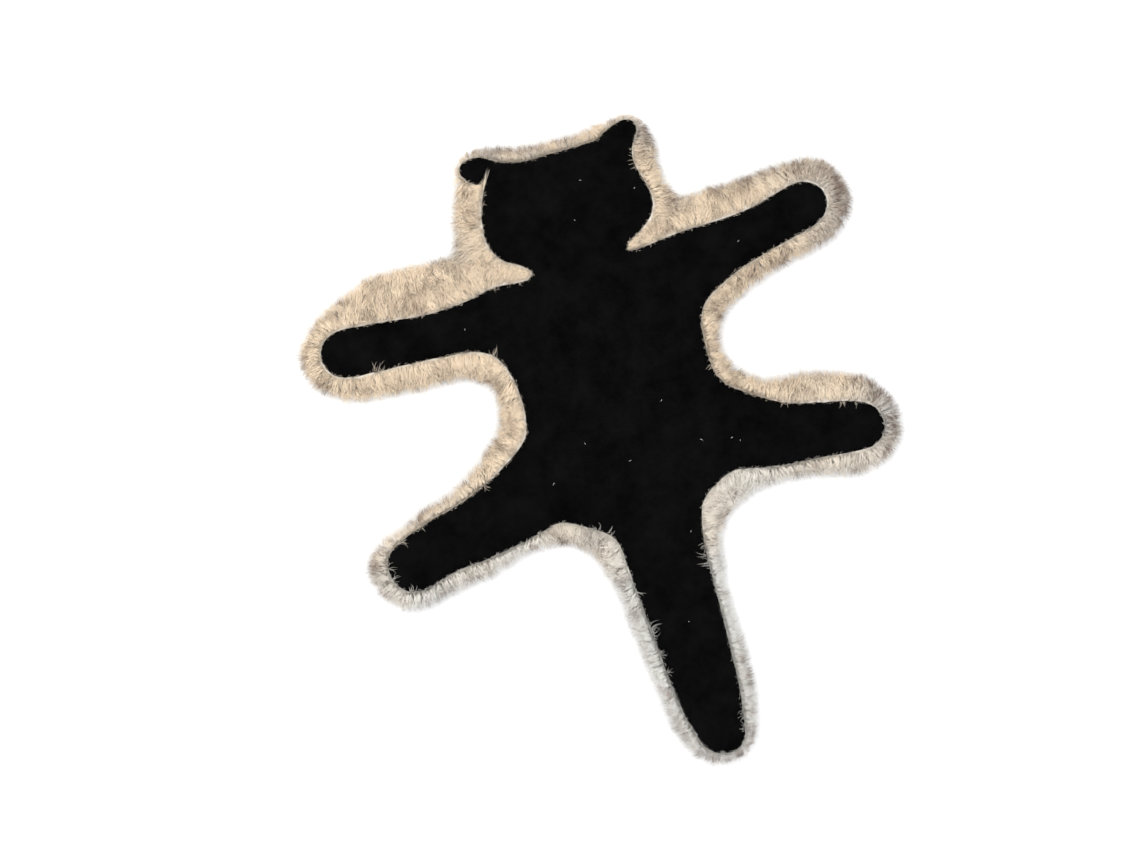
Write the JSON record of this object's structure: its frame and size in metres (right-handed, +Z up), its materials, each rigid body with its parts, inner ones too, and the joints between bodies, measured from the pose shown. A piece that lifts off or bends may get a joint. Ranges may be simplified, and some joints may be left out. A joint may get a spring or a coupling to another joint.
{
  "type": "cat-shaped rug",
  "caption": "Small floor rug in the outline of a cat seen from above: a black felt panel sewn on a larger piece of pale long-pile faux fur that shows as a shaggy border.",
  "frame": {"origin": "on the floor under the middle of the rug's box", "axes": "+Y towards the head, +X towards the rug's right side as seen from above with the head up, +Z up from the floor"},
  "size_m": [0.5892, 0.6674, 0.0171],
  "materials": {
    "fur": "long-pile faux fur, white at the root with grey-brown tips, matte",
    "felt": "black felt, matte, cut edge"
  },
  "bodies": {
    "root": {"fur_base": "fur", "cat_panel": "felt"}
  },
  "joints": []
}
